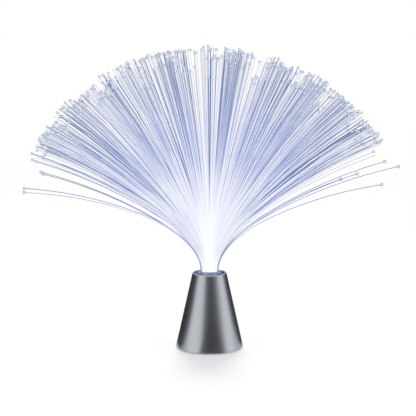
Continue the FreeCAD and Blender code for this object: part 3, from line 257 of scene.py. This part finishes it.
def lean_share(distance, bend, length):
    """Share of its lean that a fibre has reached at a distance from the ferrule."""
    return (1 - SAG) * (1 - math.exp(-distance / bend)) + SAG * distance / length


def fibre_path(fibre):
    """Points, directions and distances along a fibre, from its inner end to its tip, and the
    level direction square to them all."""
    lean_x, lean_y = fibre.lean
    lean = math.radians(math.hypot(lean_x, lean_y))
    heading = math.atan2(lean_y, lean_x)
    outward = Vector((math.cos(heading), math.sin(heading), 0))
    up = Vector((0, 0, 1))
    offset = fibre.x * outward.x + fibre.y * outward.y
    here = Vector((fibre.x, fibre.y, EXIT_HEIGHT))
    path = [(here - up * FERRULE_LENGTH, up, -FERRULE_LENGTH), (here, up, 0.0)]
    stations = [multiple * fibre.bend for multiple in BEND_STATIONS]
    stations = [station for station in stations if station < fibre.length] + [fibre.length]
    for start, end in zip(stations, stations[1:]):
        before, after = (lean * lean_share(distance, fibre.bend, fibre.length)
                         for distance in (start, end))
        radius = (end - start) / (after - before) - offset
        centre = here + (outward * math.cos(before) - up * math.sin(before)) * radius
        steps = max(LEAST_STEPS, math.ceil(math.degrees(after - before) / MOST_TURN))
        for step in range(1, steps + 1):
            angle = before + (after - before) * step / steps
            point = centre - (outward * math.cos(angle) - up * math.sin(angle)) * radius
            direction = outward * math.sin(angle) + up * math.cos(angle)
            path.append((point, direction, start + (end - start) * step / steps))
        here = path[-1][0]
    return path, Vector((-outward.y, outward.x, 0))


def bead_rings(tip, direction, distance, fibre):
    """Rings of a small round bead, from where it is as wide as the fibre to the fibre's tip."""
    first = math.asin(fibre.radius / fibre.bead)
    rings = []
    for number in range(BEAD_RINGS + 1):
        angle = first + (math.pi - first) * number / BEAD_RINGS
        back = fibre.bead * (1 + math.cos(angle))
        size = max(fibre.bead * math.sin(angle), LEAST_RING)
        rings.append((tip - direction * back, direction, distance - back, size))
    return rings


class Sheaf:
    """Collects tubes into one mesh, with numbers on its points for the material."""

    def __init__(self):
        self.vertices, self.faces = [], []
        self.marks = {"along": [], "side": [], "own": [], "bead": []}

    def tube(self, rings, across, sides, marks, is_bead):
        """Adds a tube that is closed at both ends. A ring is its centre, its direction, its
        distance along the fibre and its radius."""
        first = len(self.vertices)
        turns = [2 * math.pi * corner / sides for corner in range(sides)]
        turns = [(math.cos(turn), math.sin(turn)) for turn in turns]
        for centre, direction, distance, radius in rings:
            third = direction.cross(across)
            for cosine, sine in turns:
                self.vertices.append(centre + (across * cosine + third * sine) * radius)
            self.marks["along"] += [max(distance, 0.0) / FREE_LENGTH] * sides
        count = len(rings) * sides
        self.marks["side"] += [marks["side"]] * count
        self.marks["own"] += [marks["own"]] * count
        self.marks["bead"] += [float(is_bead)] * count
        for start in range(first, first + count - sides, sides):
            for corner in range(sides):
                one, other = start + corner, start + (corner + 1) % sides
                self.faces.append((one, other, other + sides, one + sides))
        self.faces.append(tuple(first + corner for corner in reversed(range(sides))))
        self.faces.append(tuple(first + count - sides + corner for corner in range(sides)))

    def add(self, fibre):
        """Adds a fibre, and its bead if it has one. The tube then ends inside the bead."""
        path, across = fibre_path(fibre)
        tip, direction, distance = path[-1]
        if fibre.bead:
            neck = 2 * fibre.bead
            path = [row for row in path if row[2] < distance - neck - LEAST_STRETCH]
            path.append((tip - direction * (neck - BEAD_OVERLAP), direction, distance - neck))
            self.tube(bead_rings(tip, direction, distance, fibre), across, BEAD_SIDES,
                      fibre.marks, True)
        rings = [(*row, fibre.radius) for row in path]
        self.tube(rings, across, TUBE_SIDES, fibre.marks, False)

    def piece(self, name):
        """Makes one smooth piece of all that was added."""
        mesh = bpy.data.meshes.new(name)
        mesh.from_pydata(self.vertices, [], self.faces)
        mesh.shade_smooth()
        for label, values in self.marks.items():
            mesh.attributes.new(label, "FLOAT", "POINT").data.foreach_set("value", values)
        piece = bpy.data.objects.new(name, mesh)
        bpy.context.collection.objects.link(piece)
        return piece


# ---- nodes and materials ----

NOISE_RANGE = (0.3, 0.7)        # a noise is nearly always between these
MIX_COLOURS = (6, 7)            # a Mix node's two colour inputs come after its numbers and vectors
MIX_RESULT = 2                  # and so does its colour output


class Nodes:
    """A node tree with short ways to add and join nodes."""

    def __init__(self, tree):
        self.tree = tree

    def node(self, kind, **settings):
        """Adds a node of a kind, with its settings."""
        node = self.tree.nodes.new(kind)
        for key, value in settings.items():
            setattr(node, key, value)
        return node

    def join(self, source, target):
        self.tree.links.new(source, target)

    def span(self, factor, low, high, to_low=0.0, to_high=1.0):
        """Maps low..high of a value to another range."""
        node = self.node("ShaderNodeMapRange")
        for key, value in (("From Min", low), ("From Max", high),
                           ("To Min", to_low), ("To Max", to_high)):
            node.inputs[key].default_value = value
        self.join(factor, node.inputs["Value"])
        return node.outputs["Result"]

    def math(self, operation, first, second):
        """Joins two values, each a socket or a number, by a Math node."""
        node = self.node("ShaderNodeMath", operation=operation)
        for socket, value in zip(node.inputs, (first, second)):
            if isinstance(value, (int, float)):
                socket.default_value = value
            else:
                self.join(value, socket)
        return node.outputs["Value"]

    def seen_directly(self):
        """1 for rays that show the background itself, in the camera, in metal or in glass."""
        path = self.node("ShaderNodeLightPath")
        direct = self.math("MAXIMUM", path.outputs["Is Camera Ray"], path.outputs["Is Glossy Ray"])
        return self.math("MAXIMUM", direct, path.outputs["Is Transmission Ray"])


class Look(Nodes):
    """A new material and its main shader."""

    def __init__(self, name):
        self.material = bpy.data.materials.new(name)
        self.material.use_nodes = True
        super().__init__(self.material.node_tree)
        self.surface = self.tree.nodes["Principled BSDF"]

    def put(self, **values):
        """Sets the main shader's plain inputs; an underscore stands for a space."""
        for key, value in values.items():
            self.surface.inputs[key.replace("_", " ")].default_value = value

    def place(self):
        """The piece's own coordinates, in metres."""
        return self.node("ShaderNodeTexCoord").outputs["Object"]

    def noise(self, scale, detail=3.0, stretch=None):
        """A noise's factor over the piece's own coordinates, stretched if asked. The scale is
        in spots per metre."""
        texture = self.node("ShaderNodeTexNoise")
        texture.inputs["Scale"].default_value = scale
        texture.inputs["Detail"].default_value = detail
        source = self.place()
        if stretch:
            mapping = self.node("ShaderNodeMapping")
            mapping.inputs["Scale"].default_value = stretch
            self.join(source, mapping.inputs["Vector"])
            source = mapping.outputs["Vector"]
        self.join(source, texture.inputs["Vector"])
        return texture.outputs["Fac"]

    def ramp(self, factor, stops):
        """A colour ramp with (position, colour) stops."""
        node = self.node("ShaderNodeValToRGB")
        elements = node.color_ramp.elements
        while len(elements) < len(stops):
            elements.new(0.5)
        for element, (position, colour) in zip(elements, stops):
            element.position = position
            element.color = (*colour, 1.0)
        self.join(factor, node.inputs["Fac"])
        return node.outputs["Color"]

    def mix(self, factor, first, second):
        """Mixes two colours, each a socket or a tuple."""
        node = self.node("ShaderNodeMix", data_type="RGBA")
        sockets = (node.inputs["Factor"], *(node.inputs[number] for number in MIX_COLOURS))
        for socket, value in zip(sockets, (factor, first, second)):
            if isinstance(value, tuple):
                socket.default_value = (*value, 1.0)
            elif isinstance(value, float):
                socket.default_value = value
            else:
                self.join(value, socket)
        return node.outputs[MIX_RESULT]

    def tones(self, noise, dark, light):
        """A colour between two by a noise."""
        return self.ramp(noise, tuple(zip(NOISE_RANGE, (dark, light))))

    def vary(self, noise, low, high):
        """A value between two by a noise."""
        return self.span(noise, *NOISE_RANGE, low, high)

    def bump(self, height, strength, distance):
        """Raises the surface by a value, up to a distance in metres."""
        node = self.node("ShaderNodeBump")
        node.inputs["Strength"].default_value = strength
        node.inputs["Distance"].default_value = distance
        self.join(height, node.inputs["Height"])
        self.join(node.outputs["Normal"], self.surface.inputs["Normal"])

    def attribute(self, name):
        """A number that the mesh has on its points."""
        return self.node("ShaderNodeAttribute", attribute_name=name).outputs["Fac"]

    def colour(self, source):
        self.join(source, self.surface.inputs["Base Color"])

    def roughness(self, source):
        self.join(source, self.surface.inputs["Roughness"])

    def glow(self, colour):
        self.join(colour, self.surface.inputs["Emission Color"])

    def glow_strength(self, source):
        self.join(source, self.surface.inputs["Emission Strength"])


def satin_silver():
    """Satin metallic lacquer: fine flake in the colour and a soft unevenness."""
    look = Look("satin_silver")
    flake = look.noise(scale=2600.0, detail=2.0)
    cloud = look.noise(scale=35.0, detail=2.0)
    tone = look.ramp(flake, ((0.35, (0.49, 0.515, 0.555)), (0.65, (0.57, 0.595, 0.635))))
    look.colour(look.mix(look.vary(cloud, 0.0, 0.12), tone, (0.44, 0.46, 0.50)))
    look.roughness(look.vary(flake, 0.33, 0.39))
    look.bump(flake, strength=0.08, distance=0.02 * MM)
    look.put(Metallic=1.0)
    return look.material


def bright_silver():
    """Bright metal of the socket's dish, darkened and tinted blue as painted reflection of the
    fibres' blue glow and painted shade of its recess.
    """
    look = Look("bright_silver")
    cloud = look.noise(scale=60.0, detail=2.0)
    # Painted reflection and shade: dark blue colour where the metal would be silver.
    look.colour(look.tones(cloud, (0.22, 0.26, 0.42), (0.28, 0.32, 0.50)))
    look.roughness(look.vary(cloud, 0.16, 0.24))
    # Painted reflection: the blue tint on its gloss.
    look.put(Metallic=1.0, Specular_Tint=(0.30, 0.36, 0.62, 1.0))
    return look.material


def moulded_plastic(name, dark, light, grain, rough):
    """Moulded plastic with a fine spark-eroded grain."""
    look = Look(name)
    texture = look.noise(grain)
    look.colour(look.tones(texture, dark, light))
    look.roughness(look.vary(texture, rough - 0.06, rough + 0.06))
    look.bump(texture, strength=0.25, distance=0.05 * MM)
    return look.material


def plated_metal(name, dark, light, rough, stretch=None):
    """Plated or turned metal with faint drawn marks."""
    look = Look(name)
    marks = look.noise(scale=900.0, stretch=stretch)
    look.colour(look.tones(marks, dark, light))
    look.roughness(look.vary(marks, rough - 0.06, rough + 0.08))
    look.bump(marks, strength=0.1, distance=0.02 * MM)
    look.put(Metallic=1.0)
    return look.material


# Tones of a glowing fibre, as (share of the usual free length, colour).
BODY_TONES = (
    (0.0, (0.99, 0.995, 1.0)), (0.12, (0.95, 0.965, 1.0)), (0.24, (0.90, 0.925, 1.0)),
    (0.44, (0.89, 0.912, 1.0)), (0.54, (0.68, 0.73, 0.95)), (0.66, (0.54, 0.60, 0.86)),
    (0.84, (0.49, 0.55, 0.78)), (1.0, (0.49, 0.55, 0.74)),
)
DEEP_TONES = (
    (0.0, (0.21, 0.25, 0.41)), (0.15, (0.28, 0.33, 0.56)), (0.40, (0.26, 0.32, 0.60)),
    (0.65, (0.17, 0.22, 0.48)), (1.0, (0.17, 0.22, 0.40)),
)
PALE_TONES = (
    (0.0, (1.0, 1.0, 1.0)), (0.45, (0.96, 0.97, 1.0)), (1.0, (0.84, 0.87, 0.96)),
)
# Painted glint of a glass bead: its glow is white where it faces the viewer and dark at its
# rim, as (how far its surface turns away, colour).
BEAD_GLINT_TONES = (
    (0.0, (0.95, 0.97, 1.0)), (0.18, (0.72, 0.77, 0.94)), (0.45, (0.24, 0.29, 0.46)),
    (1.0, (0.12, 0.16, 0.28)),
)
# How deep a fibre is, as (its own shade, share of the deep tones).
DEPTHS = ((0.15, (0.0,) * 3), (0.68, (0.20,) * 3), (0.72, (1.0,) * 3))
STREAK_TONE = (0.95, 0.96, 1.0)
UNLIT_TONE = (0.02, 0.02, 0.03)
UNLIT_SHARE = 0.78              # a fibre is seen by its glow, so its surface takes little light
GLOW_STRENGTHS = (0.82, 0.75)   # near the neck, and further out


def glow_fibre():
    """A clear fibre that glows: white-hot at the neck, then lilac blue, then greyer, with a
    glassy bead at the tip. Every fibre is a little deeper or paler than its neighbours, and the
    ones at the bundle's sides along X take painted shade, so the neck looks darker at its sides."""
    look = Look("light_fibre")
    along, side, own, bead = (look.attribute(name) for name in ("along", "side", "own", "bead"))

    # Painted shade near the neck: the body's bluer tones come sooner at its sides than in its middle.
    painted_neck_shade = look.math("MULTIPLY", look.span(side, 0.18, 0.50, to_low=0.02, to_high=0.18),
                      look.span(along, 0.10, 0.34, to_low=1.0, to_high=0.0))
    body = look.ramp(look.math("ADD", along, painted_neck_shade), BODY_TONES)
    deep = look.ramp(along, DEEP_TONES)
    pale = look.ramp(along, PALE_TONES)

    # Deep tones: a deep thread's outer half, which starts sooner at the sides. Painted shade: the
    # outermost fibres from the neck on, and a little of the neck's sides, which darkens the round
    # neck towards its outline.
    depth = look.ramp(own, DEPTHS)
    sooner = look.math("ADD", along, look.span(side, 0.30, 0.75, to_high=0.17))
    dark = look.math("MULTIPLY", depth, look.span(sooner, 0.28, 0.51))
    # Painted shade: the outermost fibres along X are darker, most near the neck.
    edge = look.math("MULTIPLY", look.span(side, 0.82, 0.98),
                     look.span(along, 0.10, 0.40, to_low=1.0, to_high=0.4))
    reach = look.math("MULTIPLY", look.span(along, 0.04, 0.11),
                      look.span(along, 0.28, 0.38, to_low=1.0, to_high=0.0))
    painted_flank_shade = look.math("MULTIPLY", look.span(side, 0.14, 0.45, to_high=0.26), reach)
    # The deepest tone of all: the deep threads' own tone and the painted shade of the neck's sides and
    # outline.
    deepest = look.math("MAXIMUM", look.math("MAXIMUM", dark, edge), painted_flank_shade)
    colour = look.mix(deepest, body, deep)

    # Pale threads, and faint light streaks over all.
    colour = look.mix(look.span(own, 0.16, 0.14, to_high=0.9), colour, pale)
    streak = look.noise(scale=40.0, detail=2.0)
    colour = look.mix(look.span(streak, 0.50, 0.75, to_high=0.20), colour, STREAK_TONE)

    # Painted glint: a bead's glow is set by how far its surface turns from the viewer.
    facing = look.node("ShaderNodeLayerWeight").outputs["Facing"]
    colour = look.mix(bead, colour, look.ramp(facing, BEAD_GLINT_TONES))
    look.colour(look.mix(UNLIT_SHARE, colour, UNLIT_TONE))
    look.glow(colour)
    look.glow_strength(look.span(along, 0.05, 0.40, *GLOW_STRENGTHS))
    look.put(Roughness=0.3, Specular_IOR_Level=0.3)
    return look.material


def lamp_dome(name, colour, glow):
    """A clear coloured lamp dome with a soft cloud inside."""
    look = Look(name)
    cloud = look.noise(scale=300.0, detail=2.0)
    look.colour(look.tones(cloud, colour, glow))
    look.roughness(look.vary(cloud, 0.08, 0.2))
    look.glow(look.tones(cloud, glow, colour))
    look.put(Emission_Strength=0.6)
    return look.material


BAND_START = 8.5 * MM           # where a cell's copper band starts, along Y
BAND_EDGE = 0.2 * MM            # how soft the band's edge is
BAND_WEAR = 0.1 * MM            # how far wear moves that edge


def cell_can():
    """A printed cell jacket: metallic band at one end and a dark body, with light wear."""
    look = Look("cell_can")
    split = look.node("ShaderNodeSeparateXYZ")
    look.join(look.place(), split.inputs["Vector"])
    wear = look.noise(scale=700.0)
    along = look.math("ADD", split.outputs["Y"], look.vary(wear, -BAND_WEAR, BAND_WEAR))
    band = look.span(along, BAND_START, BAND_START + BAND_EDGE)
    body = look.tones(wear, (0.025, 0.027, 0.032), (0.045, 0.048, 0.055))
    copper = look.tones(wear, (0.55, 0.33, 0.18), (0.66, 0.42, 0.24))
    look.colour(look.mix(band, body, copper))
    look.roughness(look.vary(wear, 0.25, 0.4))
    look.put(Metallic=0.6)
    return look.material


def clear_lens():
    """A clear plastic lens with a faint haze."""
    look = Look("clear_plastic")
    haze = look.noise(scale=500.0, detail=2.0)
    look.colour(look.tones(haze, (0.88, 0.91, 0.95), (0.95, 0.97, 1.0)))
    look.roughness(look.vary(haze, 0.05, 0.15))
    look.put(IOR=1.49, Transmission_Weight=0.7)
    return look.material


# Dark tone, light tone, grain in spots per metre, and roughness.
PLASTICS = {
    "white_plastic": ((0.74, 0.75, 0.77), (0.82, 0.83, 0.85), 1400.0, 0.42),
    "black_plastic": ((0.018, 0.018, 0.020), (0.032, 0.032, 0.035), 1800.0, 0.48),
    "grey_rubber": ((0.13, 0.13, 0.135), (0.18, 0.18, 0.185), 1100.0, 0.75),
    "board_green": ((0.016, 0.105, 0.045), (0.024, 0.135, 0.06), 900.0, 0.34),
    "component_black": ((0.02, 0.02, 0.022), (0.04, 0.04, 0.042), 1500.0, 0.4),
    "wire_red": ((0.50, 0.025, 0.022), (0.60, 0.04, 0.035), 700.0, 0.4),
    "wire_black": ((0.020, 0.020, 0.022), (0.035, 0.035, 0.038), 700.0, 0.4),
}
# Dark tone, light tone, roughness, and the stretch of the drawn marks where there is one.
METALS = {
    "zinc_steel": ((0.52, 0.53, 0.55), (0.66, 0.67, 0.69), 0.30),
    "tinned_steel": ((0.62, 0.61, 0.58), (0.72, 0.71, 0.68), 0.32, (1.0, 1.0, 8.0)),
    # The ferrule's blue tones are painted reflection of the fibres' blue glow on plain metal.
    "ferrule_metal": ((0.60, 0.65, 0.82), (0.70, 0.74, 0.90), 0.52, (1.0, 1.0, 6.0)),
}
# Colour and glow.
DOMES = {
    "lamp_red": ((0.75, 0.05, 0.04), (0.95, 0.16, 0.10)),
    "lamp_green": ((0.05, 0.62, 0.12), (0.16, 0.86, 0.25)),
    "lamp_blue": ((0.05, 0.12, 0.80), (0.15, 0.30, 1.0)),
}
MATERIALS = {
    "satin_silver": satin_silver(),
    "bright_silver": bright_silver(),
    "cell_can": cell_can(),
    "clear_plastic": clear_lens(),
    "light_fibre": glow_fibre(),
}
MATERIALS.update((name, moulded_plastic(name, *row)) for name, row in PLASTICS.items())
MATERIALS.update((name, plated_metal(name, *row)) for name, row in METALS.items())
MATERIALS.update((name, lamp_dome(name, *row)) for name, row in DOMES.items())


def dress(obj, name):
    """Gives a piece the material of a slot."""
    obj.data.materials.clear()
    obj.data.materials.append(MATERIALS[name])


SLOTS = {row["node"]: row["material_slot"] for row in frame["record"]["subparts"]}
for node, obj in frame["nodes"].items():
    dress(obj, SLOTS[node])

# ---- the fibres, as one piece for each of the part's fibre nodes ----

strands = sorted(fan_of_strands(), key=lambda strand: strand.lean)
looks = random.Random(LOOKS_SEED)
for number in range(FIBRE_NODES):
    low = len(strands) * number // FIBRE_NODES
    high = len(strands) * (number + 1) // FIBRE_NODES
    sheaf = Sheaf()
    for strand in strands[low:high]:
        for fibre in fine_fibres(strand, looks):
            sheaf.add(fibre)
    node = f"fibres_{number + 1:02d}"
    piece = sheaf.piece(f"glowing_{node}")
    dress(piece, "light_fibre")
    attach(piece, "spray")
    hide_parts(node)
    piece.visible_shadow = False

# ---- stage ----

FLOOR_LEVEL = -0.2 * MM         # just under the feet
FLOOR_HALF = 9.0                # half the width of the floor
FLOOR_GLOW = 0.27               # how much brighter it is where it is seen
WORLD_LIGHT = 0.55              # strength of the white world as a light; it is 1 where it is seen
# Dark cards round the lamp, each as the (distance, height) of its lower and upper edge.
FRONT_FLAG = ((2.6, 0.0), (2.6, 1.9))
HALF_FLAG = ((2.6, 0.0), (2.6, 0.7))
LOW_FLAG = ((0.05, 0.0), (0.30, 0.17))
FAR_FLAG = ((1.6, 0.0), (1.6, 0.9))
# The cards' azimuths: 0 is the front and 90 is +X. Metal shows them between two bright gaps.
FLAGS = (
    (-27, 8, FRONT_FLAG), (8, 34, FRONT_FLAG), (34, 56, HALF_FLAG),
    (101, 130, FAR_FLAG), (130, 165, FAR_FLAG), (195, 233, FAR_FLAG), (233, 271, FAR_FLAG),
    (-24, 8, LOW_FLAG), (8, 39, LOW_FLAG), (95, 114, LOW_FLAG), (114, 140, LOW_FLAG),
    (140, 165, LOW_FLAG), (195, 225, LOW_FLAG), (225, 254, LOW_FLAG), (254, 283, LOW_FLAG),
)
SUN_STRENGTH = 1.75
SUN_SPREAD = 32                 # how wide it looks, in degrees: soft shadows
SUN_TURN = (-58, 2, 0)          # in degrees: it stands behind the lamp, 32 degrees up


def flat_piece(name, corners, material):
    """A flat four-sided stage piece."""
    mesh = bpy.data.meshes.new(name)
    mesh.from_pydata(corners, [], [(0, 1, 2, 3)])
    mesh.materials.append(material)
    obj = bpy.data.objects.new(name, mesh)
    bpy.context.collection.objects.link(obj)
    return obj


def floor_paint():
    """Pale matt paint. It glows a little, but only where it is seen, so its glow lights nothing."""
    look = Look("floor_paint")
    look.put(Base_Color=(0.86, 0.857, 0.842, 1.0), Roughness=0.9, Specular_IOR_Level=0.1,
             Emission_Color=(1.0, 1.0, 1.0, 1.0))
    look.glow_strength(look.span(look.seen_directly(), 0.0, 1.0, 0.0, FLOOR_GLOW))
    return look.material


def flag_cloth():
    """Matt black cloth."""
    look = Look("flag_cloth")
    look.put(Base_Color=(0.03, 0.03, 0.035, 1.0), Roughness=0.9, Specular_IOR_Level=0.0)
    return look.material


def set_world():
    """A plain white world, weaker as a light than where it is seen."""
    world = bpy.data.worlds.new("studio")
    world.use_nodes = True
    bpy.context.scene.world = world
    nodes = Nodes(world.node_tree)
    back = nodes.tree.nodes["Background"]
    back.inputs["Color"].default_value = (1.0, 1.0, 1.0, 1.0)
    strength = nodes.span(nodes.seen_directly(), 0.0, 1.0, WORLD_LIGHT, 1.0)
    nodes.join(strength, back.inputs["Strength"])


def polar(azimuth, edge):
    """A point of a card's edge at an azimuth."""
    distance, height = edge
    turn = math.radians(azimuth)
    return Vector((math.sin(turn) * distance, -math.cos(turn) * distance, height))


set_world()
flat_piece("floor", [Vector((x * FLOOR_HALF, y * FLOOR_HALF, FLOOR_LEVEL))
                     for x, y in ((-1, -1), (1, -1), (1, 1), (-1, 1))], floor_paint())

flag = flag_cloth()
for number, (start, end, (low_edge, high_edge)) in enumerate(FLAGS, start=1):
    corners = [polar(start, low_edge), polar(end, low_edge),
               polar(end, high_edge), polar(start, high_edge)]
    card = flat_piece(f"flag_{number}", corners, flag)
    card.visible_camera = card.visible_diffuse = card.visible_shadow = False

sun = bpy.data.lights.new("soft_sun", "SUN")
sun.energy = SUN_STRENGTH
sun.angle = math.radians(SUN_SPREAD)
sun_lamp = bpy.data.objects.new("soft_sun", sun)
sun_lamp.rotation_euler = [math.radians(turn) for turn in SUN_TURN]
sun_lamp.visible_glossy = False
bpy.context.collection.objects.link(sun_lamp)

# ---- camera ----

CAMERA_LENS = 117.3             # focal length in millimetres
CAMERA_SENSOR = 36.0            # width in millimetres
CAMERA_REACH = 60.0             # how far it sees
CAMERA_PLACE = (-0.0016, -1.400, 0.378)
CAMERA_DIP = 9.3                # how far it looks down from level, in degrees

camera_data = bpy.data.cameras.new("camera")
camera_data.lens = CAMERA_LENS
camera_data.sensor_width = CAMERA_SENSOR
camera_data.clip_end = CAMERA_REACH
camera = bpy.data.objects.new("camera", camera_data)
camera.location = CAMERA_PLACE
camera.rotation_euler = (math.radians(90 - CAMERA_DIP), 0, 0)
bpy.context.collection.objects.link(camera)
bpy.context.scene.camera = camera
bpy.context.scene.view_settings.view_transform = "Standard"
